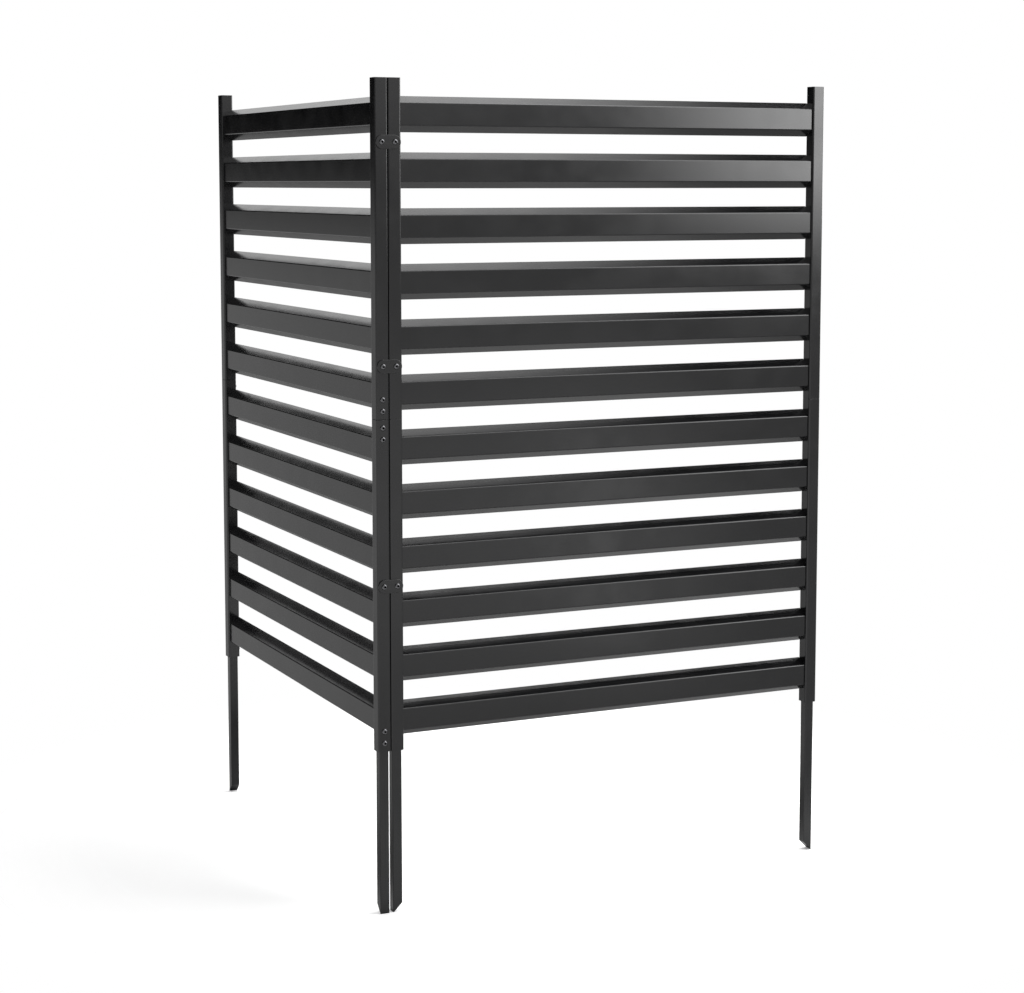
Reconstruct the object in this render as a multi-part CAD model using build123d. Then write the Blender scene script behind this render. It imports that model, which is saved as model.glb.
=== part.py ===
from build123d import *
import math
import os

# A privacy fence: two slatted steel panels bolted together at a right angle.
# Every length is in millimetres. One panel is modelled lying along +X with its front
# towards -Y and its post feet at z = 0, and the fence then uses it twice.
inch = 25.4

# Posts: square steel tube, cut in two at mid height so that the panel ships in halves
panel_width = 36 * inch
post_height = 48 * inch
post_side = 25.0
post_wall = 2.5
post_corner = 3.0
seam_break = 0.5
post_bore = post_side - 2 * post_wall
seam_height = post_height / 2

# Slats: bent sheet, a flat front with an upper and a lower flange splayed to the back
slat_count = 12
slat_pitch = 100.0
lowest_slat = 55.5
slat_face = 40.0
slat_recess = 4.0
flange_rise = 12.5
slat_sheet = 1.2
slat_bend = 2.5

# Ground stakes: square tube with a point cut at 45 degrees and closed by a plate
stake_reach = 12 * inch
stake_side = 18.0
stake_wall = 1.5
stake_corner = 1.5
stake_insert = 60.0
tip_flat = 0.8

# Joining sleeves: the thick square tube inside each post that carries the two halves and
# is tapped for their bolts
sleeve_side = 19.6
sleeve_wall = 3.0
sleeve_corner = 1.0
sleeve_length = 110.0

# Plugs in the post tops, with two ribs at these shares of their depth
cap_drop = 0.8
cap_plate = 2.4
cap_skirt = 12.0
cap_skirt_side = 18.2
cap_skirt_wall = 1.6
cap_rib = 1.2
rib_places = (0.6, 0.9)

# M6 x 12 button-head bolts, and the nuts welded inside the tubes. There are many of them,
# so their round forms have a few flat sides, and so have the holes that they go through
round_sides = 8
bolt_r = 3.0
bolt_length = 12.0
clearance_r = 3.4
head_r = 5.25
head_height = 3.3
head_rim = 0.7
head_crown_r = 3.0
nut_flats = 10.0
nut_height = 5.0
weld_depth = 0.2

# Bolt heights above the post feet
stake_bolts = [16.0, 38.0]
sleeve_bolts = [seam_height + step for step in (-36.0, -15.0, 15.0, 36.0)]
link_heights = [305.5, 705.5, 1105.5]

# Link plates across the two corner posts
corner_gap = 0.5
link_length = 48.0
link_thickness = 3.0

# Directions around a post, as turns about z away from +X
end_side = 0
back_side = 90
start_side = 180
front_side = -90


def square_tube(side, corner, wall, low, high, broken_end=None):
    # A square tube along z, with rounded outer corners. broken_end is the height of an end
    # whose sharp outer edge is taken off
    outside = Pos(0, 0, low) * extrude(RectangleRounded(side, side, corner), high - low)
    if broken_end is not None:
        rim = outside.edges().filter_by_position(Axis.Z, broken_end, broken_end)
        outside = chamfer(rim, seam_break)
    inside = Pos(0, 0, low) * extrude(Rectangle(side - 2 * wall, side - 2 * wall), high - low)
    return outside - inside


def on_wall(shape, direction, distance, height):
    # Lays a shape modelled along +X on a tube wall: its origin goes the given distance
    # from the tube's axis, at the given height, on the side that the direction names
    return Rot(0, 0, direction) * Pos(distance, 0, height) * shape


def bar(radius, inner, outer):
    # A round bar along X, from inner to outer
    return Pos(inner, 0, 0) * Rot(0, 90, 0) * extrude(RegularPolygon(radius, round_sides), outer - inner)


def drill(tube, wall_outside, direction, heights, radius, depth):
    # Holes from outside into one side of a tube
    for height in heights:
        tube -= on_wall(bar(radius, -depth, depth), direction, wall_outside, height)
    return tube


def add_nuts(tube, wall_inside, direction, heights):
    # Hexagon nuts against the inside of a tube's wall, still without their threads
    nut = extrude(RegularPolygon(nut_flats / 2, 6, major_radius=False), nut_height + weld_depth)
    nut = Pos(weld_depth, 0, 0) * Rot(0, -90, 0) * nut
    for height in heights:
        tube += on_wall(nut, direction, wall_inside, height)
    return tube


def bolt():
    # A button-head bolt along X: the head sits on x = 0 and the shank points to -X
    rim = RegularPolygon(head_r, round_sides)
    crown_height = head_height - head_rim
    flat_share = math.cos(math.pi / round_sides)
    crown_slope = math.degrees(math.atan((head_r - head_crown_r) * flat_share / crown_height))
    head = extrude(rim, head_rim) + Pos(0, 0, head_rim) * extrude(rim, crown_height, taper=crown_slope)
    return bar(bolt_r, -bolt_length, 0) + Rot(0, 90, 0) * head


def bolt_row(direction, distance, heights):
    return [on_wall(bolt(), direction, distance, height) for height in heights]


def post_half(low, high, bolt_side, link_side):
    # One half of a post, in the panel's own heights, centred on the post's axis
    half = square_tube(post_side, post_corner, post_wall, low, high, seam_height)
    bolted = [height for height in stake_bolts + sleeve_bolts if low < height < high]
    half = drill(half, post_side / 2, bolt_side, bolted, clearance_r, 2 * post_wall)
    if link_side is not None:
        linked = [height for height in link_heights if low < height < high]
        half = add_nuts(half, post_bore / 2, link_side, linked)
        half = drill(half, post_side / 2, link_side, linked, bolt_r, post_wall + 2 * nut_height)
    return half


def joining_sleeve(bolt_side):
    half_length = sleeve_length / 2
    sleeve = square_tube(sleeve_side, sleeve_corner, sleeve_wall, seam_height - half_length,
                         seam_height + half_length)
    return drill(sleeve, sleeve_side / 2, bolt_side, sleeve_bolts, bolt_r, 2 * sleeve_wall)


def tip_waste(lift):
    # What the slanting cut takes off a stake whose point is on its +X side
    edge = stake_side / 2 - tip_flat
    low = -stake_reach + lift
    run = 2 * stake_side
    outline = Polyline((edge + run, low), (edge, low), (edge - run, low + run), (edge - run, low - run),
                       (edge + run, low - run), close=True)
    return extrude(Plane.XZ * make_face(outline), amount=stake_side, both=True)


def ground_stake(bolt_side, tip_side):
    length = stake_reach + stake_insert
    inner_side = stake_side - 2 * stake_wall
    outside = extrude(RectangleRounded(stake_side, stake_side, stake_corner), length)
    inside = extrude(Rectangle(inner_side, inner_side), length)
    outside = Pos(0, 0, -stake_reach) * outside - tip_waste(0)
    inside = Pos(0, 0, -stake_reach) * inside - tip_waste(stake_wall * math.sqrt(2))
    stake = Rot(0, 0, tip_side) * (outside - inside)
    stake = add_nuts(stake, inner_side / 2, bolt_side, stake_bolts)
    return drill(stake, stake_side / 2, bolt_side, stake_bolts, bolt_r, stake_wall + 2 * nut_height)


def post_cap():
    # A plug with a flat top, a hollow skirt and two ribs that grip the post's bore
    snug = Rectangle(post_bore, post_bore)
    skirt_bore = cap_skirt_side - 2 * cap_skirt_wall
    depth = cap_plate + cap_skirt
    plug = extrude(Rectangle(cap_skirt_side, cap_skirt_side), -depth)
    plug += extrude(snug, -cap_plate)
    for place in rib_places:
        plug += Pos(0, 0, -depth * place) * extrude(snug, cap_rib)
    plug -= Pos(0, 0, -cap_plate) * extrude(Rectangle(skirt_bore, skirt_bore), -cap_skirt)
    return Pos(0, 0, post_height - cap_drop) * plug


def slat():
    # The sheet's outer line, seen from the end: y runs to the back and z up
    half_face = slat_face / 2
    outer_half = half_face + flange_rise
    outer_line = FilletPolyline((post_side, -outer_half), (slat_recess, -half_face),
                                (slat_recess, half_face), (post_side, outer_half), radius=slat_bend)
    section = make_face(offset(outer_line, slat_sheet, side=Side.RIGHT))
    # The sheet's edges are trimmed flush with the backs of the posts
    trim = Pos(post_side / 2, 0) * Rectangle(post_side, 4 * outer_half)
    length = panel_width - 2 * post_side
    sheet = extrude(Plane.YZ * (section & trim), length)
    return Pos(post_side, 0, 0) * sheet


def link_plate():
    # An obround plate against the front of two posts, its back face on y = 0
    plate = Rot(90, 0, 0) * extrude(SlotOverall(link_length, post_side), link_thickness)
    reach = (post_side + corner_gap) / 2
    for x in (-reach, reach):
        plate -= Pos(x, 0, 0) * Rot(0, 0, front_side) * bar(clearance_r, -link_thickness, 2 * link_thickness)
    return plate


def panel(name, left_name, right_name, left_link, right_link):
    # All pieces of one panel: the left post at the back-bolted side, the right at the end
    pieces = {}
    posts = [
        (left_name, post_side / 2, back_side, start_side, left_link),
        (right_name, panel_width - post_side / 2, end_side, end_side, right_link),
    ]
    for post_name, x, bolt_side, tip_side, link_side in posts:
        place = Pos(x, post_side / 2, 0)
        pieces[post_name + "_post_lower"] = place * post_half(0, seam_height, bolt_side, link_side)
        pieces[post_name + "_post_upper"] = place * post_half(seam_height, post_height, bolt_side, link_side)
        pieces[post_name + "_joining_sleeve"] = place * joining_sleeve(bolt_side)
        pieces[post_name + "_ground_stake"] = place * ground_stake(bolt_side, tip_side)
        pieces[post_name + "_post_cap"] = place * post_cap()
        sleeve_row = bolt_row(bolt_side, post_side / 2, sleeve_bolts)
        stake_row = bolt_row(bolt_side, post_side / 2, stake_bolts)
        pieces[post_name + "_sleeve_bolts"] = place * Compound(sleeve_row)
        pieces[post_name + "_stake_bolts"] = place * Compound(stake_row)
    for number in range(slat_count):
        height = lowest_slat + (slat_count - 1 - number) * slat_pitch
        pieces[f"{name}_slat_{number + 1:02d}"] = Pos(0, 0, height) * slat()
    return pieces


# The front panel runs along X. The side panel is the same panel turned by a quarter, and
# its right-hand post stands at the corner. Only the corner posts have nuts for the links.
pieces = {}
front_place = Pos(post_side + corner_gap, 0, 0)
front = panel("front", "front_corner", "front_end", front_side, None)
for node, shape in front.items():
    pieces[node] = front_place * shape

side_place = Pos(0, panel_width, 0) * Rot(0, 0, -90)
side = panel("side", "side_end", "side_corner", None, end_side)
for node, shape in side.items():
    pieces[node] = side_place * shape

# Three link plates over the corner, each with one bolt into either post
link_x = post_side + corner_gap / 2
bolt_reach = (post_side + corner_gap) / 2
for number, height in enumerate(reversed(link_heights), start=1):
    pieces[f"link_plate_{number}"] = Pos(link_x, 0, height) * link_plate()
    pair = [Pos(link_x + step, -link_thickness, height) * Rot(0, 0, front_side) * bolt()
            for step in (-bolt_reach, bolt_reach)]
    pieces[f"link_bolts_{number}"] = Compound(pair)

# The fence stands on its stake tips, with the middle of its plan over the origin
least_x = 0.0
most_x = post_side + corner_gap + panel_width + head_height
least_y = -link_thickness - head_height
most_y = panel_width
frame = Pos(-(least_x + most_x) / 2, -(least_y + most_y) / 2, stake_reach)

os.makedirs("parts", exist_ok=True)
for node, shape in pieces.items():
    export_step(frame * shape, f"parts/{node}.step")
print(len(pieces), "nodes written")
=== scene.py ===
# %% [markdown]
# # A privacy fence of two slatted panels
# The real thing is a pair of black steel panels, bolted together at a right angle. Square
# posts carry slats of bent sheet, and pointed stakes hold the posts in the ground. The CAD
# frame brings every solid in its place. This lesson gives each piece its finish, and swaps
# the slats, bolts, link plates and plugs for finer meshes of the same size.

# %% Load the frame
import math

import bmesh
import bpy
from mathutils import Matrix, Vector


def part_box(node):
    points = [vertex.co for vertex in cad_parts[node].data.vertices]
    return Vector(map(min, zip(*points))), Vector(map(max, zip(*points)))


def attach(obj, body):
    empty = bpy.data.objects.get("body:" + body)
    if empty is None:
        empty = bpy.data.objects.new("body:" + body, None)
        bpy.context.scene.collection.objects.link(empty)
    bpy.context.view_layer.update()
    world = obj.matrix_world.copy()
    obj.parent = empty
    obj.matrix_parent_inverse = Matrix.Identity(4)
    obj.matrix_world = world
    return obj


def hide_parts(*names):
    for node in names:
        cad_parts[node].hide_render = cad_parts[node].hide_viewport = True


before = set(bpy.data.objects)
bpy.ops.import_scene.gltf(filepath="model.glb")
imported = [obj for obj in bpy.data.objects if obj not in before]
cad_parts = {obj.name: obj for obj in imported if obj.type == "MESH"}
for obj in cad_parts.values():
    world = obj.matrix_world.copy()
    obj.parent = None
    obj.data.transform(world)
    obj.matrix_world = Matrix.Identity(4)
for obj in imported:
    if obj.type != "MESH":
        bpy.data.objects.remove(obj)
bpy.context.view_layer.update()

# %% [markdown]
# ## Sizes
# Blender works in metres here, and a fence maker thinks in millimetres, so one name turns
# the one into the other. Only sizes that can't be read from the frame are written down, each
# beside the piece that needs it.

# %% Millimetres, and the height of the posts' foot and seam
mm = 0.001
post_names = ("front_corner", "front_end", "side_corner", "side_end")
post_low, post_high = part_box("front_end_post_lower")
foot = post_low.z
seam = post_high.z
print("posts", round((post_high.x - post_low.x) / mm, 1), "mm wide, seam at", round(seam, 3), "m")

# %% [markdown]
# ## The camera
# The photograph was taken from the left of the corner and a little below the top of the
# posts. Upright lines in it stay upright, which a camera does when it looks level and slides
# its lens down. Here the camera tips down a little and slides less, because the slide stays
# on when the part is looked at from other sides, and a large one would crop it there.

# %% Place the camera
eye = Vector((-1.9017, -4.0901, 1.3375))
turn_right = math.radians(25.04)
tip_down = math.radians(5.91)
lens_length = 76.87
lens_slide = 0.085
sensor_width = 36.0
far_limit = 200

lens = bpy.data.cameras.new("camera")
lens.lens = lens_length
lens.sensor_width = sensor_width
lens.shift_y = -lens_slide
lens.clip_end = far_limit
camera = bpy.data.objects.new("camera", lens)
camera.location = eye
camera.rotation_euler = (math.pi / 2 - tip_down, 0, -turn_right)
scene = bpy.context.scene
scene.collection.objects.link(camera)
scene.camera = camera
scene.view_settings.view_transform = "Standard"
print("camera", round((eye - (post_low + post_high) / 2).length, 2), "m from the end post")

# %% [markdown]
# ## Shader groups that several finishes share
# Powder coat is sprayed on as dry powder and baked, so it flows into a skin with a faint
# ripple, called orange peel. Dust settles on whatever faces up. Hands and packing leave
# patches that are a little duller. Each of these is built once as a node group that only
# puts out a colour, a mask or a height, and every finish then uses it with its own values.

# %% Helpers that make nodes
def add_node(tree, kind, links=(), **settings):
    """A new node. links pairs an input's name with the socket or the value that it gets."""
    made = tree.nodes.new(kind)
    for name, value in settings.items():
        setattr(made, name, value)
    for name, source in dict(links).items():
        socket = made.inputs[name]
        if isinstance(source, bpy.types.NodeSocket):
            tree.links.new(source, socket)
        else:
            socket.default_value = source
    return made


def add_group(tree, group, links):
    return add_node(tree, "ShaderNodeGroup", links, node_tree=group)


def add_noise(tree, place, size, detail, roughness):
    """Noise with bumps of about the given size, because its scale is one over that size."""
    scale = add_node(tree, "ShaderNodeMath", {0: 1.0, 1: size}, operation="DIVIDE")
    noise = add_node(tree, "ShaderNodeTexNoise",
                     {"Vector": place, "Scale": scale.outputs[0],
                      "Detail": detail, "Roughness": roughness})
    return noise.outputs["Fac"]


def new_group(name, takes, gives):
    """An empty node group with named inputs (name, kind, value) and outputs (name, kind)."""
    group = bpy.data.node_groups.new(name, "ShaderNodeTree")
    for label, kind, value in takes:
        socket = group.interface.new_socket(label, in_out="INPUT", socket_type=kind)
        if value is not None:
            socket.default_value = value
    for label, kind in gives:
        group.interface.new_socket(label, in_out="OUTPUT", socket_type=kind)
    entry = group.nodes.new("NodeGroupInput")
    end = group.nodes.new("NodeGroupOutput")
    return group, entry.outputs, end.inputs


# %% [markdown]
# The ripple is a noise with broad, smooth bumps. It can be stretched, which turns the bumps
# into the lines of a drawn surface. Its height goes to a Bump node in each material.

# %% Group: ripple of a baked coat
ripple, given, result = new_group(
    "coat_ripple",
    [("Position", "NodeSocketVector", None), ("Bump size", "NodeSocketFloat", 2 * mm),
     ("Stretch", "NodeSocketVector", (1, 1, 1))],
    [("Height", "NodeSocketFloat")])
stretched = add_node(ripple, "ShaderNodeVectorMath",
                     {0: given["Position"], 1: given["Stretch"]}, operation="MULTIPLY")
bumps = add_noise(ripple, stretched.outputs[0], given["Bump size"], detail=1.5, roughness=0.4)
ripple.links.new(bumps, result["Height"])
print("group", ripple.name, "with", len(ripple.nodes), "nodes")

# %% [markdown]
# Dull patches change the roughness between two values, in soft clouds a few centimetres wide
# with a finer mottle inside them.

# %% Group: dull patches
patches, given, result = new_group(
    "dull_patches",
    [("Position", "NodeSocketVector", None), ("Patch size", "NodeSocketFloat", 60 * mm),
     ("Smooth", "NodeSocketFloat", 0.15), ("Dull", "NodeSocketFloat", 0.2)],
    [("Roughness", "NodeSocketFloat")])
clouds = add_noise(patches, given["Position"], given["Patch size"], detail=2.5, roughness=0.5)
spread = add_node(patches, "ShaderNodeMapRange",
                  {"Value": clouds, "From Min": 0.3, "From Max": 0.7,
                   "To Min": given["Smooth"], "To Max": given["Dull"]},
                  interpolation_type="SMOOTHSTEP")
patches.links.new(spread.outputs[0], result["Roughness"])
print("group", patches.name, "with", len(patches.nodes), "nodes")

# %% [markdown]
# Dust needs to know which way the surface faces. The upward part of the normal, times a
# speckled noise, tells where it lies, and the coat's colour is blended towards the dust's.

# %% Group: settled dust
dust, given, result = new_group(
    "settled_dust",
    [("Position", "NodeSocketVector", None), ("Coat", "NodeSocketColor", (0.01, 0.01, 0.01, 1)),
     ("Dust", "NodeSocketColor", (0.2, 0.19, 0.17, 1)), ("Amount", "NodeSocketFloat", 0.02),
     ("Speck size", "NodeSocketFloat", 3 * mm)],
    [("Color", "NodeSocketColor"), ("Mask", "NodeSocketFloat")])
facing = add_node(dust, "ShaderNodeNewGeometry")
upward = add_node(dust, "ShaderNodeSeparateXYZ", {0: facing.outputs["Normal"]})
lying = add_node(dust, "ShaderNodeMapRange",
                 {"Value": upward.outputs["Z"], "From Min": 0.2, "From Max": 0.9},
                 interpolation_type="SMOOTHSTEP")
specks = add_noise(dust, given["Position"], given["Speck size"], detail=6.0, roughness=0.7)
thick = add_node(dust, "ShaderNodeMath", {0: lying.outputs[0], 1: specks}, operation="MULTIPLY")
amount = add_node(dust, "ShaderNodeMath", {0: thick.outputs[0], 1: given["Amount"]},
                  operation="MULTIPLY", use_clamp=True)
blended = add_node(dust, "ShaderNodeMix",
                   {"Factor": amount.outputs[0], "A": given["Coat"], "B": given["Dust"]},
                   data_type="RGBA")
dust.links.new(blended.outputs["Result"], result["Color"])
dust.links.new(amount.outputs[0], result["Mask"])
print("group", dust.name, "with", len(dust.nodes), "nodes")

# %% [markdown]
# ## Finishes
# A material starts from a Principled BSDF. Whatever is the same all over the surface is set
# on the shader's own sockets, and only what changes over the surface comes through nodes:
# dust in the colour, patches in the roughness and a ripple or grain in the relief.

# %% Helper: a finish that uses all three groups
finishes = {}


def new_finish(name, colour, dust_colour, dust_amount, speck_size, patch_size, smooth, dull,
               bump_size, bump_height, bump_strength=1.0, stretch=(1, 1, 1)):
    """Makes a material, keeps it under the slot's name and gives its shader."""
    finish = bpy.data.materials.new(name + "_finish")
    finish.use_nodes = True
    tree = finish.node_tree
    tree.nodes.clear()
    shader = add_node(tree, "ShaderNodeBsdfPrincipled")
    add_node(tree, "ShaderNodeOutputMaterial", {"Surface": shader.outputs[0]})
    place = add_node(tree, "ShaderNodeTexCoord").outputs["Object"]
    soiled = add_group(tree, dust, {"Position": place, "Coat": colour, "Dust": dust_colour,
                                    "Amount": dust_amount, "Speck size": speck_size})
    worn = add_group(tree, patches, {"Position": place, "Patch size": patch_size,
                                     "Smooth": smooth, "Dull": dull})
    skin = add_group(tree, ripple, {"Position": place, "Bump size": bump_size,
                                    "Stretch": stretch})
    bump = add_node(tree, "ShaderNodeBump", {"Strength": bump_strength, "Distance": bump_height,
                                             "Height": skin.outputs["Height"]})
    tree.links.new(soiled.outputs["Color"], shader.inputs["Base Color"])
    tree.links.new(worn.outputs["Roughness"], shader.inputs["Roughness"])
    tree.links.new(bump.outputs["Normal"], shader.inputs["Normal"])
    finishes[name] = finish
    print("finish", finish.name, "roughness", smooth, "to", dull)
    return shader


# %% [markdown]
# The posts, slats, stakes and link plates all carry the same glossy black powder coat. It is
# a plastic skin, not bare metal, so the metallic value stays at nothing. The slats are long
# flat mirrors and show the ripple most. The stakes come out of the box a little dustier.

# %% Finish: glossy black powder coat
coat_black = (0.0045, 0.0045, 0.005, 1)
dust_grey = (0.16, 0.155, 0.145, 1)
coat_ior = 1.5
coat_speck = 4 * mm
coat_patch = 60 * mm


def powder_coat(name, smooth, dull, bump_size, bump_height, dust_amount):
    shader = new_finish(name, coat_black, dust_grey, dust_amount, coat_speck, coat_patch,
                        smooth, dull, bump_size, bump_height)
    shader.inputs["IOR"].default_value = coat_ior


powder_coat("coated_post", smooth=0.13, dull=0.19, bump_size=2.2 * mm,
            bump_height=0.030 * mm, dust_amount=0.006)
powder_coat("coated_slat", smooth=0.13, dull=0.18, bump_size=2.6 * mm,
            bump_height=0.030 * mm, dust_amount=0.004)
powder_coat("coated_stake", smooth=0.18, dull=0.26, bump_size=1.8 * mm,
            bump_height=0.030 * mm, dust_amount=0.02)
powder_coat("coated_plate", smooth=0.15, dull=0.22, bump_size=1.6 * mm,
            bump_height=0.022 * mm, dust_amount=0.01)

# %% [markdown]
# The bolts are steel with a thin blackened layer. It is part of the metal, so they shine more
# than the paint does and the metallic value is full, with a very dark colour. The mesh marks
# the faces inside each socket with an attribute called recess. A Mix node between the dusty
# colour and the shader reads it and paints the socket near black, as painted shade.

# %% Finish: blackened bolts, with painted shade in their sockets
blackened_steel = (0.12, 0.12, 0.125, 1)
painted_socket_shade = (0.003, 0.003, 0.003, 1)
shader = new_finish(
    "black_bolt", blackened_steel, dust_grey, dust_amount=0.1, speck_size=1 * mm,
    patch_size=3 * mm, smooth=0.18, dull=0.28,
    bump_size=0.35 * mm, bump_height=0.01 * mm, bump_strength=0.5)
shader.inputs["Metallic"].default_value = 1.0
tree = shader.id_data
dusty = shader.inputs["Base Color"].links[0].from_socket
# The recess attribute mixes the colour to near black: painted shade inside each socket
recess = add_node(tree, "ShaderNodeAttribute", attribute_name="recess").outputs["Fac"]
deep = add_node(tree, "ShaderNodeMix", {"Factor": recess, "A": dusty, "B": painted_socket_shade},
                data_type="RGBA")
tree.links.new(deep.outputs["Result"], shader.inputs["Base Color"])

# %% [markdown]
# The sleeves hide inside the posts. They are plated with zinc, which is a real metal surface
# too, and a noise stretched along the tube gives its drawn grain. The plugs in the post tops
# are moulded plastic with a fine spark-eroded texture.

# %% Finishes: plated sleeves and moulded plugs
zinc = (0.55, 0.56, 0.58, 1)
zinc_dust = (0.35, 0.33, 0.30, 1)
along_tube = (1, 1, 0.06)
shader = new_finish(
    "plated_sleeve", zinc, zinc_dust, dust_amount=0.25, speck_size=2 * mm,
    patch_size=12 * mm, smooth=0.25, dull=0.42,
    bump_size=0.4 * mm, bump_height=0.02 * mm, bump_strength=0.5, stretch=along_tube)
shader.inputs["Metallic"].default_value = 1.0

plug_black = (0.018, 0.018, 0.018, 1)
new_finish(
    "cap_plastic", plug_black, dust_grey, dust_amount=0.12, speck_size=2 * mm,
    patch_size=8 * mm, smooth=0.5, dull=0.62,
    bump_size=0.3 * mm, bump_height=0.03 * mm, bump_strength=0.9)

# %% [markdown]
# Every CAD node comes with a plain material that is named after its slot, and gets the finish
# of the same name.

# %% Paint every CAD node
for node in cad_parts.values():
    for holder in node.material_slots:
        holder.material = finishes[holder.material.name]
print("painted", len(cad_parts), "nodes with", len(finishes), "finishes")

# %% [markdown]
# ## Making finer pieces
# Most pieces here are one closed line of points, carried along a path: a sheet's end view
# carried along the slat, or a ring carried up a bolt. The helper below joins each ring of
# points to the next with four-sided faces and closes the two ends.

# %% Helpers: rings of points and the skin between them
def add_lid(mesh, row):
    """Closes a ring with strips that run between its two halves."""
    last = len(row) - 1
    for i in range(len(row) // 2 - 1):
        mesh.faces.new((row[i], row[i + 1], row[last - i - 1], row[last - i]))


def add_skin(mesh, rings):
    """Faces between rings of equal length, and a lid on each end. Gives the rings' points."""
    rows = [[mesh.verts.new(point) for point in ring] for ring in rings]
    for lower, upper in zip(rows, rows[1:]):
        for i in range(len(lower)):
            j = (i + 1) % len(lower)
            mesh.faces.new((lower[i], lower[j], upper[j], upper[i]))
    add_lid(mesh, rows[0])
    add_lid(mesh, rows[-1])
    return rows


# %% Helper: round the corners of an outline
def soften(corners, steps=6):
    """Rounds a closed outline. Each corner is a flat point and the radius that it gets."""
    outline = []
    for i, (corner, radius) in enumerate(corners):
        back = (corners[i - 1][0] - corner).normalized()
        ahead = (corners[(i + 1) % len(corners)][0] - corner).normalized()
        half_angle = math.acos(max(-1.0, min(1.0, back.dot(ahead)))) / 2
        middle = corner + (back + ahead).normalized() * (radius / math.sin(half_angle))
        first = corner + back * (radius / math.tan(half_angle)) - middle
        final = corner + ahead * (radius / math.tan(half_angle)) - middle
        start = math.atan2(first.y, first.x)
        sweep = math.remainder(math.atan2(final.y, final.x) - start, math.tau)
        for step in range(steps + 1):
            angle = start + sweep * step / steps
            outline.append(middle + radius * Vector((math.cos(angle), math.sin(angle))))
    return outline


# %% Helper: finish a mesh as a piece of the fence
sharp_from = math.radians(40)


def make_piece(name, mesh, slot, *nodes):
    """Turns a bmesh into an object that replaces CAD nodes and takes a slot's finish."""
    bmesh.ops.recalc_face_normals(mesh, faces=mesh.faces)
    for face in mesh.faces:
        face.smooth = True
    data = bpy.data.meshes.new(name)
    mesh.to_mesh(data)
    mesh.free()
    data.set_sharp_from_angle(angle=sharp_from)
    data.materials.append(finishes[slot])
    piece = bpy.data.objects.new(name, data)
    scene.collection.objects.link(piece)
    evened = piece.modifiers.new("even_normals", "WEIGHTED_NORMAL")
    evened.keep_sharp = True
    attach(piece, "root")
    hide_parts(*nodes)
    return piece


# %% [markdown]
# ## Slats
# A slat is a strip of thin steel, folded twice on a press brake: a flat front, and a flange
# above and below that leans back. A folded edge is never sharp. Its outside follows a small
# arc, and that arc catches the lamp as the thin bright line along every slat in the photo.
# The end view is drawn as eight corners, the folds get their radius, the cut edges of the
# sheet a tiny one, and the outline is then carried from post to post.

# %% Draw the end view of a slat
slat_face = 40 * mm
slat_sheet = 1.2 * mm
slat_bend = 2.5 * mm
cut_edge = 0.3 * mm


def slat_outline(depth, height):
    """The sheet's outline as (depth, height) points, from the lower cut edge round to it."""
    half_face = slat_face / 2
    half_height = height / 2
    lean = (half_height - half_face) / depth
    sheet_rise = slat_sheet * math.hypot(1, lean)
    inner_fold = half_face + slat_sheet * lean - sheet_rise
    upper = [
        ((0, half_face), slat_bend),
        ((depth, half_height), cut_edge),
        ((depth, half_height - sheet_rise), cut_edge),
        ((slat_sheet, inner_fold), slat_bend - slat_sheet),
    ]
    lower = [((x, -y), radius) for (x, y), radius in reversed(upper)]
    corners = lower[2:] + upper + lower[:2]
    return soften([(Vector(point), radius) for point, radius in corners])


# %% Make the twenty-four slats
slat_count = 0
for node in sorted(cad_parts):
    if "_slat_" not in node:
        continue
    low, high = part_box(node)
    runs_along_x = high.x - low.x > high.y - low.y
    depth = (high.y - low.y) if runs_along_x else (high.x - low.x)
    middle_height = (low.z + high.z) / 2
    outline = slat_outline(depth, high.z - low.z)
    if runs_along_x:
        rings = [[Vector((x, low.y + point.x, middle_height + point.y)) for point in outline]
                 for x in (low.x, high.x)]
    else:
        rings = [[Vector((low.x + point.x, y, middle_height + point.y)) for point in outline]
                 for y in (low.y, high.y)]
    mesh = bmesh.new()
    add_skin(mesh, rings)
    make_piece("bent_" + node, mesh, "coated_slat", node)
    slat_count += 1
print(slat_count, "slats, each with", len(outline), "points in its end view")

# %% [markdown]
# ## Bolts
# Button-head bolts hold the halves of each post, the stakes and the link plates. A head is a
# low dome over a short rim, with a hexagon socket for the key. The ring of a hexagon has its
# points further out at the corners, and the thread is a ring whose radius rises and falls as
# it goes round and along, which makes a true spiral.

# %% Sizes of a bolt
head_radius = 5.25 * mm
head_height = 3.3 * mm
head_rim = 0.7 * mm
crown_top = 2.7 * mm
shank_radius = 3.0 * mm
bolt_shank = 12 * mm
thread_pitch = 1.0 * mm
thread_depth = 0.55 * mm
key_width = 4.0 * mm
key_depth = 2.6 * mm
drill_point = 0.9 * mm

# %% Rings of one bolt
ring_points = 24


def ring_point(along, radius, angle):
    """A point beside the bolt's axis, which is +X."""
    return Vector((along, radius * math.cos(angle), radius * math.sin(angle)))


def round_ring(radius, along):
    return [ring_point(along, radius, math.tau * k / ring_points) for k in range(ring_points)]


def hexagon_ring(flats, along):
    ring = []
    for k in range(ring_points):
        angle = math.tau * k / ring_points
        radius = flats / 2 / math.cos(angle % (math.pi / 3) - math.pi / 6)
        ring.append(ring_point(along, radius, angle))
    return ring


def thread_ring(along):
    """The thread's profile goes from crest to root and back once in each pitch."""
    ring = []
    for k in range(ring_points):
        share = (along / thread_pitch + k / ring_points) % 1
        radius = shank_radius - thread_depth * (1 - abs(2 * share - 1))
        ring.append(ring_point(along, radius, math.tau * k / ring_points))
    return ring


# %% The socket and the dome of a head
drill_tip = key_width * 0.05
drill_rim = key_width * 0.47
socket_mouth = key_width * 0.6
small_edge = 0.2 * mm
dome_steps = 8


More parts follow.
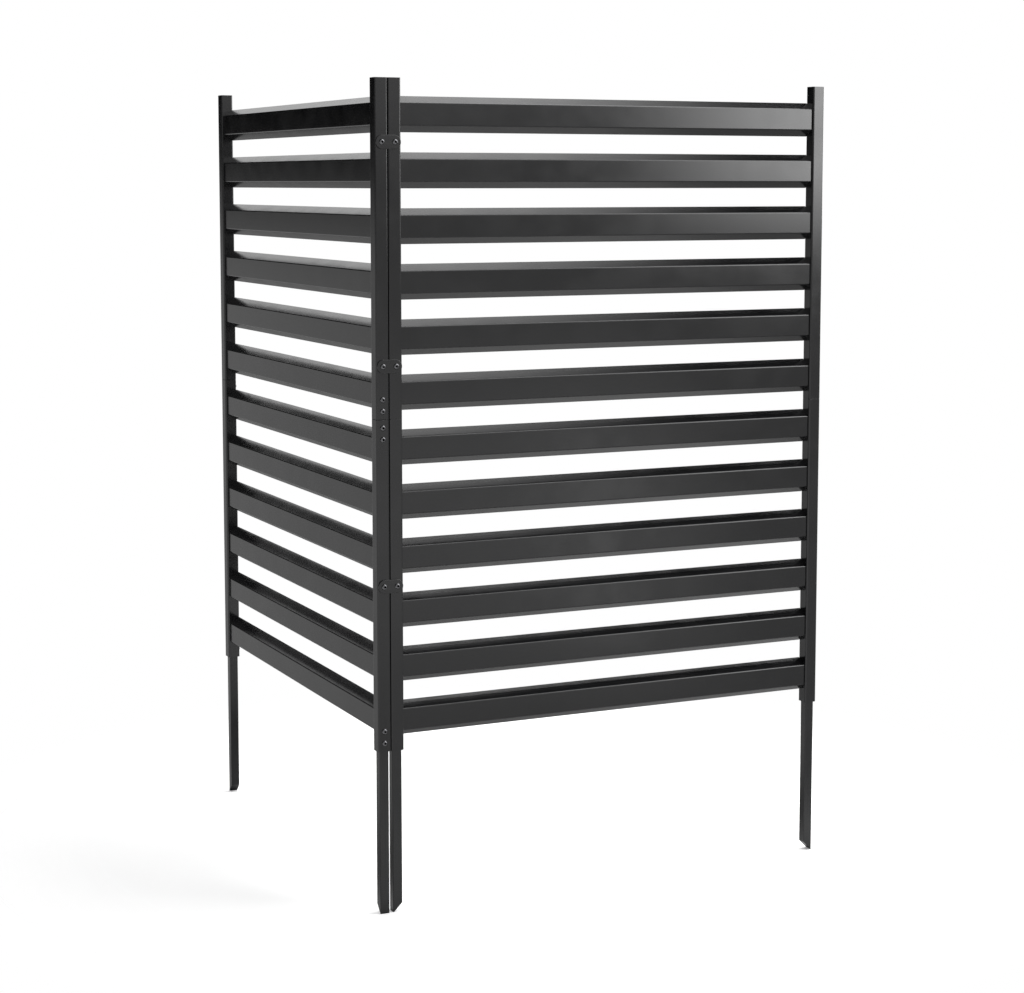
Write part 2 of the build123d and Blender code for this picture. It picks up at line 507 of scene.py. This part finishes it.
def socket_rings():
    """From the bottom of the drilled hole up through the hexagon to its bevelled mouth."""
    bottom = head_height - key_depth
    return [round_ring(drill_tip, bottom - drill_point), round_ring(drill_rim, bottom),
            hexagon_ring(key_width, bottom), hexagon_ring(key_width, head_height - small_edge),
            round_ring(socket_mouth, head_height)]


def dome_rings():
    """Part of a ball that passes through the rim and the edge of the flat top."""
    rise = head_height - head_rim
    ball_middle = (head_rim + head_height) / 2 - (head_radius ** 2 - crown_top ** 2) / (2 * rise)
    ball = math.hypot(crown_top, head_height - ball_middle)
    top_angle = math.asin(crown_top / ball)
    rim_angle = math.asin(head_radius / ball)
    rings = [round_ring(crown_top, head_height)]
    for step in range(1, dome_steps + 1):
        angle = top_angle + (rim_angle - top_angle) * step / dome_steps
        rings.append(round_ring(ball * math.sin(angle), ball_middle + ball * math.cos(angle)))
    return rings + [round_ring(head_radius, small_edge), round_ring(head_radius - small_edge, 0)]


# %% The shank, and the whole bolt from socket to tip
thread_starts = 1.25 * thread_pitch
thread_ends = bolt_shank - 0.75 * thread_pitch
ring_step = thread_pitch / 4
tip_bevel = 0.4 * mm


def shank_rings():
    root_radius = shank_radius - thread_depth
    steps = round((thread_ends - thread_starts) / ring_step)
    rings = [round_ring(shank_radius, 0), round_ring(shank_radius, -thread_pitch)]
    rings += [thread_ring(-thread_starts - ring_step * k) for k in range(steps + 1)]
    return rings + [round_ring(root_radius, -bolt_shank + tip_bevel),
                    round_ring(root_radius - tip_bevel, -bolt_shank)]


one_bolt = socket_rings() + dome_rings() + shank_rings()
print("one bolt has", len(one_bolt), "rings of", ring_points, "points")

# %% [markdown]
# The frame tells where the bolts go: each bolt node's box sticks out of its post on the side
# of its heads. Every key was turned by hand, so each socket ends up at its own angle, a fixed
# step on from the bolt before it.

# %% Which way do the heads of a node point?
def head_direction(node, carrier):
    """The unit vector of the side on which the bolts stand out of their carrier."""
    bolts_low, bolts_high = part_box(node)
    wall_low, wall_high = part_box(carrier)
    stands_out = []
    for axis in (0, 1):
        stands_out.append((bolts_high[axis] - wall_high[axis], axis, 1))
        stands_out.append((wall_low[axis] - bolts_low[axis], axis, -1))
    reach, axis, sign = max(stands_out)
    print(node, "stands out by", round(reach / mm, 1), "mm")
    direction = Vector((0, 0, 0))
    direction[axis] = sign
    return direction


# %% Helper: a row of bolts as one object
key_turn = math.radians(137.5)
painted_shade_rings = 4


def make_bolts(node, direction, places, bolts_before):
    """One object with a bolt at each place. A place is on the surface under the head."""
    mesh = bmesh.new()
    recess = mesh.verts.layers.float.new("recess")
    for number, place in enumerate(places, start=bolts_before):
        pose = Matrix.Translation(place) @ direction.to_track_quat("X", "Z").to_matrix().to_4x4()
        pose = pose @ Matrix.Rotation(key_turn * number, 4, "X")
        rows = add_skin(mesh, [[pose @ point for point in ring] for ring in one_bolt])
        # The rings inside the socket get recess 1, where the bolt finish paints shade
        for row in rows[:painted_shade_rings]:
            for point in row:
                point[recess] = 1.0
    make_piece("button_head_" + node, mesh, "black_bolt", node)


# %% Bolts of the posts, at their heights above the foot
stake_heights = [16 * mm, 38 * mm]
sleeve_heights = [seam - foot + step for step in (-36 * mm, -15 * mm, 15 * mm, 36 * mm)]


def bolt_places(carrier, direction, heights):
    """Points on the middle of one side of the carrier, at heights above the foot."""
    wall_low, wall_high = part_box(carrier)
    middle = (wall_low + wall_high) / 2
    for axis in (0, 1):
        if direction[axis]:
            middle[axis] = wall_high[axis] if direction[axis] > 0 else wall_low[axis]
    return [Vector((middle.x, middle.y, foot + height)) for height in heights]


bolts_made = 0
for post in post_names:
    carrier = post + "_post_lower"
    for row, heights in (("_stake_bolts", stake_heights), ("_sleeve_bolts", sleeve_heights)):
        direction = head_direction(post + row, carrier)
        places = bolt_places(carrier, direction, heights)
        make_bolts(post + row, direction, places, bolts_made)
        bolts_made += len(places)
print(bolts_made, "bolts in the posts")

# %% Bolts of the link plates, with their heads away from the posts
plate_numbers = (1, 2, 3)
post_low, post_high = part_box("front_corner_post_lower")
plate_low, plate_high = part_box("link_plate_1")
plate_side = plate_low.y + plate_high.y - post_low.y - post_high.y
outward = Vector((0, math.copysign(1, plate_side), 0))
for number in plate_numbers:
    node = f"link_bolts_{number}"
    low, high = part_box(node)
    plate_low, plate_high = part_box(f"link_plate_{number}")
    height = (low.z + high.z) / 2
    head_middles = (low.x + head_radius, high.x - head_radius)
    places = [Vector((x, plate_low.y, height)) for x in head_middles]
    make_bolts(node, outward, places, bolts_made)
    bolts_made += len(places)
print(bolts_made, "bolts in all")

# %% [markdown]
# ## Link plates
# Three short bars with round ends tie the corner posts together. They are punched from flat
# bar, so their edges are slightly rounded and they have two round holes. A flat curve with
# holes, filled and given a thickness and a small bevel, makes exactly that.

# %% Draw a plate as a flat curve and turn it into a mesh
edge_round = 0.6 * mm
hole_radius = 3.4 * mm
arc_steps = 24


def arc(middle, radius, start, turn):
    """Points on an arc round a middle that lies on the plate's long axis."""
    angles = [start + turn * step / arc_steps for step in range(arc_steps + 1)]
    return [(middle + radius * math.cos(angle), radius * math.sin(angle)) for angle in angles]


def plate_mesh(length, width, thickness, hole_gap):
    drawing = bpy.data.curves.new("plate_drawing", "CURVE")
    drawing.dimensions = "2D"
    drawing.fill_mode = "BOTH"
    drawing.extrude = thickness / 2 - edge_round
    drawing.bevel_depth = edge_round
    drawing.bevel_resolution = 2
    drawing.offset = -edge_round
    end = (length - width) / 2
    outside = arc(end, width / 2, -math.pi / 2, math.pi)
    outside += arc(-end, width / 2, math.pi / 2, math.pi)
    hole_middles = (-hole_gap / 2, hole_gap / 2)
    holes = [arc(middle, hole_radius, 0, -math.tau)[:-1] for middle in hole_middles]
    for line in [outside] + holes:
        spline = drawing.splines.new("POLY")
        spline.points.add(len(line) - 1)
        for point, (x, y) in zip(spline.points, line):
            point.co = (x, y, 0, 1)
        spline.use_cyclic_u = True
    holder = bpy.data.objects.new("plate_drawing", drawing)
    scene.collection.objects.link(holder)
    evaluated = holder.evaluated_get(bpy.context.evaluated_depsgraph_get())
    shape = bpy.data.meshes.new_from_object(evaluated)
    bpy.data.objects.remove(holder)
    return shape


# %% Make the three plates
same_point = 0.001 * mm
upright = Matrix.Rotation(math.pi / 2, 4, "X")
for number in plate_numbers:
    node = f"link_plate_{number}"
    low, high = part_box(node)
    bolts_low, bolts_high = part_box(f"link_bolts_{number}")
    hole_gap = bolts_high.x - bolts_low.x - 2 * head_radius
    flat = plate_mesh(high.x - low.x, high.z - low.z, high.y - low.y, hole_gap)
    mesh = bmesh.new()
    mesh.from_mesh(flat)
    bmesh.ops.remove_doubles(mesh, verts=mesh.verts, dist=same_point)
    in_place = Matrix.Translation((low + high) / 2) @ upright
    bmesh.ops.transform(mesh, verts=mesh.verts, matrix=in_place)
    piece = make_piece("rounded_" + node, mesh, "coated_plate", node)
    print(piece.name, "has", len(piece.data.vertices), "points")
print("holes", round(hole_gap / mm, 2), "mm from middle to middle")

# %% [markdown]
# ## Plugs in the post tops
# A square plastic plug closes each post so that rain stays out. Its plate fits the bore, and
# below it a thinner skirt with two ribs grips the walls. Every level is a rounded square, so
# the plug is a stack of squares whose size and height change.

# %% Helper: a rounded square
def square_ring(middle, side, corner, height, steps=4):
    """A rounded square, level at the given height."""
    ring = []
    straight = side / 2 - corner
    for quarter in range(4):
        for step in range(steps + 1):
            angle = (quarter + step / steps) * math.pi / 2
            across = straight * (1 if quarter in (0, 3) else -1) + corner * math.cos(angle)
            along = straight * (1 if quarter in (0, 1) else -1) + corner * math.sin(angle)
            ring.append(Vector((middle.x + across, middle.y + along, height)))
    return ring


# %% Stack the squares of each plug
plug_plate = 2.4 * mm
plug_corner = 0.8 * mm
plug_edge = 0.5 * mm
edge_middle = 0.3 * plug_edge
skirt_in = 0.9 * mm
skirt_wall = 1.6 * mm
rib = 1.2 * mm
rib_places = (0.6, 0.9)
rib_slope = 0.2


def plug_levels(top, bottom):
    """How far each square lies inside the plate's edge, and its height, from top to bore."""
    under_plate = top - plug_plate
    levels = [(plug_edge, top), (edge_middle, top - edge_middle), (0, top - plug_edge),
              (0, under_plate), (skirt_in, under_plate)]
    for place in rib_places:
        rib_top = top - (top - bottom) * place + rib
        levels += [(skirt_in, rib_top), (rib_slope * skirt_in, rib_top - rib_slope * rib),
                   (rib_slope * skirt_in, rib_top - (1 - rib_slope) * rib),
                   (skirt_in, rib_top - rib)]
    bore = skirt_in + skirt_wall
    return levels + [(skirt_in, bottom), (bore, bottom), (bore, under_plate)]


for post in post_names:
    node = post + "_post_cap"
    low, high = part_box(node)
    side = high.x - low.x
    middle = (low + high) / 2
    mesh = bmesh.new()
    add_skin(mesh, [square_ring(middle, side - 2 * inset, plug_corner, height)
                    for inset, height in plug_levels(high.z, low.z)])
    make_piece("ribbed_" + node, mesh, "cap_plastic", node)
print("four plugs,", round(side / mm, 1), "mm square")

# %% [markdown]
# ## Floor
# The fence stands in front of plain white. The floor is pale and takes a soft shadow near
# the stakes, and it turns clear further out, where the white of the world takes over, so no
# horizon shows. Black gloss shows the room around it far more than its own colour, so the
# floor has two looks. Seen by the camera, it is white. Seen in the gloss, its colour holds
# painted light and shade: palest in front of the fence, a painted shadow a little way behind
# its front panel, and darkest at the back.

# %% The floor's mesh
floor_reach = 2.0
floor_mesh = bmesh.new()
bmesh.ops.create_grid(floor_mesh, x_segments=12, y_segments=12, size=floor_reach)
floor_data = bpy.data.meshes.new("floor")
floor_mesh.to_mesh(floor_data)
floor_mesh.free()
floor = bpy.data.objects.new("floor", floor_data)
scene.collection.objects.link(floor)
print("floor", 2 * floor_reach, "m square")

# %% The floor's tone: white to the eye, painted light and shade from front to back in the gloss
# In the gloss the floor's colour is painted light and shade: lit grey in front, a painted  shadow
# of the fence just behind its front panel, and darker towards the back
graded_from = -0.6
graded_to = 1.5
front_grey = 0.8
painted_shadow_grey = 0.22
painted_shadow_at = 0.19
middle_grey = 0.42
middle_at = 0.42
back_grey = 0.12
floor_white = 0.95

pale = bpy.data.materials.new("pale_floor")
pale.use_nodes = True
tree = pale.node_tree
tree.nodes.clear()
path = add_node(tree, "ShaderNodeLightPath").outputs
place = add_node(tree, "ShaderNodeTexCoord").outputs["Object"]
backward = add_node(tree, "ShaderNodeSeparateXYZ", {0: place}).outputs["Y"]
share = add_node(tree, "ShaderNodeMapRange",
                 {"Value": backward, "From Min": graded_from, "From Max": graded_to})
graded = add_node(tree, "ShaderNodeValToRGB", {"Fac": share.outputs[0]})
ramp = graded.color_ramp
ramp.interpolation = "EASE"
ramp.elements.new(painted_shadow_at).color = (painted_shadow_grey, painted_shadow_grey, painted_shadow_grey, 1)
ramp.elements.new(middle_at).color = (middle_grey, middle_grey, middle_grey, 1)
ramp.elements[0].color = (front_grey, front_grey, front_grey, 1)
ramp.elements[-1].color = (back_grey, back_grey, back_grey, 1)
# Camera rays see the even white floor, and glossy rays see the ramp's painted light and shade
tone = add_node(tree, "ShaderNodeMix",
                {"Factor": path["Is Glossy Ray"], "A": floor_white, "B": graded.outputs[0]},
                data_type="FLOAT")
matt = add_node(tree, "ShaderNodeBsdfDiffuse", {"Color": tone.outputs["Result"]})
print("floor graded from", graded_from, "to", graded_to, "m")

# %% [markdown]
# A little light of the floor's own, which only the camera sees, keeps the shadow faint. The
# floor then fades out between two distances from the middle.

# %% The floor's faint shadow and its fading edge
shadow_lift = 0.2
fade_starts = 0.75
fade_ends = 1.25
lift = add_node(tree, "ShaderNodeMath", {0: path["Is Camera Ray"], 1: shadow_lift},
                operation="MULTIPLY")
glow = add_node(tree, "ShaderNodeEmission",
                {"Color": (1, 1, 1, 1), "Strength": lift.outputs[0]})
lit = add_node(tree, "ShaderNodeAddShader", {0: matt.outputs[0], 1: glow.outputs[0]})
distance = add_node(tree, "ShaderNodeVectorMath", {0: place}, operation="LENGTH")
fade = add_node(tree, "ShaderNodeMapRange",
                {"Value": distance.outputs["Value"],
                 "From Min": fade_starts, "From Max": fade_ends},
                interpolation_type="SMOOTHSTEP")
clear = add_node(tree, "ShaderNodeBsdfTransparent")
shown = add_node(tree, "ShaderNodeMixShader",
                 {0: fade.outputs[0], 1: lit.outputs[0], 2: clear.outputs[0]})
add_node(tree, "ShaderNodeOutputMaterial", {"Surface": shown.outputs[0]})
floor_data.materials.append(pale)
print("floor faded out at", fade_ends, "m")

# %% [markdown]
# ## The studio in the gloss
# The world has two looks as well. Below the horizon, the gloss sees a sweep that gets darker
# towards the back right and low in front. A pale wall on the right and a pale strip at the
# back show in the open backs of the slats, and a soft pale patch low in front shows in the
# middle of the front panel. All of it is drawn with directions: the three parts of the unit
# vector that points at a place of the world say how far right, back and up it is.

# %% Helpers: the directions, and what is made from them
world = bpy.data.worlds.new("studio")
scene.world = world
world.use_nodes = True
tree = world.node_tree
tree.nodes.clear()
toward = add_node(tree, "ShaderNodeTexCoord").outputs["Generated"]
parts = add_node(tree, "ShaderNodeSeparateXYZ", {0: toward}).outputs
right = parts["X"]
back = parts["Y"]
up = parts["Z"]


def math_node(operation, a, b=0.0, c=0.0):
    return add_node(tree, "ShaderNodeMath", {0: a, 1: b, 2: c}, operation=operation).outputs[0]


def all_of(first, *others):
    """The product of several shares, which is full only where all of them are."""
    for other in others:
        first = math_node("MULTIPLY", first, other)
    return first


def soft_step(value, edge, full, start=0.0, end=1.0):
    """Goes smoothly from start to end while the value goes from edge to full."""
    return add_node(tree, "ShaderNodeMapRange",
                    {"Value": value, "From Min": edge, "From Max": full,
                     "To Min": start, "To Max": end},
                    interpolation_type="SMOOTHSTEP").outputs[0]


def blend(factor, a, b):
    return add_node(tree, "ShaderNodeMix", {"Factor": factor, "A": a, "B": b},
                    data_type="FLOAT").outputs["Result"]


# %% Below the horizon: the sweep, with a wall, a strip and a patch
sweep_level = 0.67
sweep_fall = 0.54
sweep_most = 1.0
back_right = (0.707, 0.707, 0.0)
front_dimming = 0.17
wall_glow = 0.5
strip_glow = 0.4

darker_way = add_node(tree, "ShaderNodeVectorMath", {0: toward, 1: back_right},
                      operation="DOT_PRODUCT").outputs["Value"]
sweep = math_node("MULTIPLY_ADD", darker_way, -sweep_fall, sweep_level)
sweep = math_node("MINIMUM", sweep, sweep_most)
low_front = soft_step(back, edge=-0.6, full=-0.8)
sweep = math_node("MULTIPLY_ADD", low_front, -front_dimming, sweep)
wall = all_of(soft_step(right, edge=0.47, full=0.62),
              soft_step(back, edge=-0.6, full=-0.3),
              soft_step(up, edge=-0.6, full=-0.35))
sweep = math_node("MULTIPLY_ADD", wall, wall_glow, sweep)
strip = all_of(soft_step(right, edge=-0.32, full=-0.15),
               soft_step(right, edge=0.12, full=0.0),
               soft_step(back, edge=0.6, full=0.8))
sweep = math_node("MULTIPLY_ADD", strip, strip_glow, sweep)
patch = all_of(low_front,
               soft_step(up, edge=-0.075, full=-0.12),
               soft_step(up, edge=-0.235, full=-0.19),
               soft_step(right, edge=0.492, full=0.462))
patch_glow = soft_step(right, edge=0.425, full=0.46, start=0.42, end=1.7)
sweep = math_node("MULTIPLY_ADD", patch, patch_glow, sweep)
print("sweep with", len(tree.nodes), "nodes")

# %% [markdown]
# Above the horizon the room is dark, apart from two pale walls: one all along the right half,
# which gets paler towards its top and ends about thirty degrees up, and one in front.

# %% Above the horizon: a dark room with two pale walls
room_level = 0.78
room_rise = 0.14
front_glow = 0.9

room = all_of(soft_step(right, edge=-0.12, full=0.03),
              soft_step(up, edge=0.42, full=0.60, start=1.0, end=0.0),
              math_node("MULTIPLY_ADD", back, room_rise, room_level),
              soft_step(up, edge=0.28, full=0.36, start=0.9, end=1.3))
front = all_of(soft_step(back, edge=-0.1, full=-0.4), soft_step(up, edge=0.025, full=0.07))
room = math_node("MULTIPLY_ADD", front, front_glow, room)
above = soft_step(up, edge=-0.05, full=0.025)
gloss = blend(above, sweep, room)
print("studio with", len(tree.nodes), "nodes")

# %% [markdown]
# Light Path tells what a ray is for. The rays of the eye, also through clear things, get
# white, those of the gloss get the studio, and all others get an even fill.

# %% White to the eye, the studio in the gloss, and an even fill for the rest
fill_level = 0.45
white_level = 1.0
path = add_node(tree, "ShaderNodeLightPath").outputs
seen = math_node("MAXIMUM", path["Is Camera Ray"], path["Is Transmission Ray"])
level = blend(path["Is Glossy Ray"], fill_level, gloss)
strength = blend(seen, level, white_level)
sky = add_node(tree, "ShaderNodeBackground", {"Color": (1, 1, 1, 1), "Strength": strength})
add_node(tree, "ShaderNodeOutputWorld", {"Surface": sky.outputs[0]})
print("world with", len(tree.nodes), "nodes")

# %% [markdown]
# ## Lamps
# Four soft boxes do the rest. The right one stands in front of the fence and well to the
# right of the camera, from about waist height up. Its edges fade, as a diffuser's do, so its
# reflection brightens the top right of the front panel little by little. The rear one hangs
# over the back, with faded edges too, where the flanges that lean up catch it. The upper one
# hangs over the right and draws the thin bright line along each fold, and with the side one
# the crescent on each bolt.

# %% Helper: a soft box
def fade_edges(cloth, soft_share):
    """Multiplies two soft steps, one in from the sides and one in from top and bottom."""
    # Parametric runs from 0 to 1 across the lamp, and ping-pong folds it at the middle
    middle = 0.5
    spot = add_node(cloth, "ShaderNodeNewGeometry").outputs["Parametric"]
    across = add_node(cloth, "ShaderNodeSeparateXYZ", {0: spot})
    faded = []
    for axis, share in zip("XY", soft_share):
        from_edge = add_node(cloth, "ShaderNodeMath", {0: across.outputs[axis], 1: middle},
                             operation="PINGPONG")
        faded.append(add_node(cloth, "ShaderNodeMapRange",
                              {"Value": from_edge.outputs[0], "From Min": 0.0, "From Max": share},
                              interpolation_type="SMOOTHSTEP").outputs[0])
    both = add_node(cloth, "ShaderNodeMath", {0: faded[0], 1: faded[1]}, operation="MULTIPLY")
    cloth.links.new(both.outputs[0], cloth.nodes["Emission"].inputs["Strength"])


def soft_box(name, middle, aim, width, height, brightness, soft_share=None):
    """A lamp of the given brightness, where 1 is a white card, aimed at a point.

    soft_share is how much of its width and height is taken by each of its faded edges.
    """
    lamp = bpy.data.lights.new(name, "AREA")
    lamp.shape = "RECTANGLE"
    lamp.size = width
    lamp.size_y = height
    lamp.energy = brightness * math.pi * width * height
    if soft_share:
        lamp.use_nodes = True
        fade_edges(lamp.node_tree, soft_share)
    box = bpy.data.objects.new(name, lamp)
    box.location = middle
    aimed = Vector(aim) - Vector(middle)
    if aimed.xy.length > 0:
        box.rotation_euler = aimed.to_track_quat("-Z", "Y").to_euler()
    box.visible_camera = False
    scene.collection.objects.link(box)
    print(name, round(lamp.energy), "W over", round(width * height, 1), "square metres")


# %% Place the four soft boxes
soft_box("right_soft_box", middle=(2.94, -3.5, 2.25), aim=(2.94, 0.0, 2.25),
         width=2.92, height=2.5, brightness=7.5, soft_share=(0.377, 0.18))
soft_box("rear_soft_box", middle=(0.0, 1.8, 3.2), aim=(0.0, 1.8, 0.0),
         width=3.4, height=3.2, brightness=2.9, soft_share=(0.36, 0.14))
soft_box("upper_soft_box", middle=(1.2, -0.7, 3.3), aim=(-0.2, -0.45, 1.0),
         width=1.8, height=2.3, brightness=6.0)
soft_box("side_soft_box", middle=(3.2, 0.2, 2.3), aim=(-0.4, -0.45, 1.2),
         width=2.0, height=2.2, brightness=5.0)
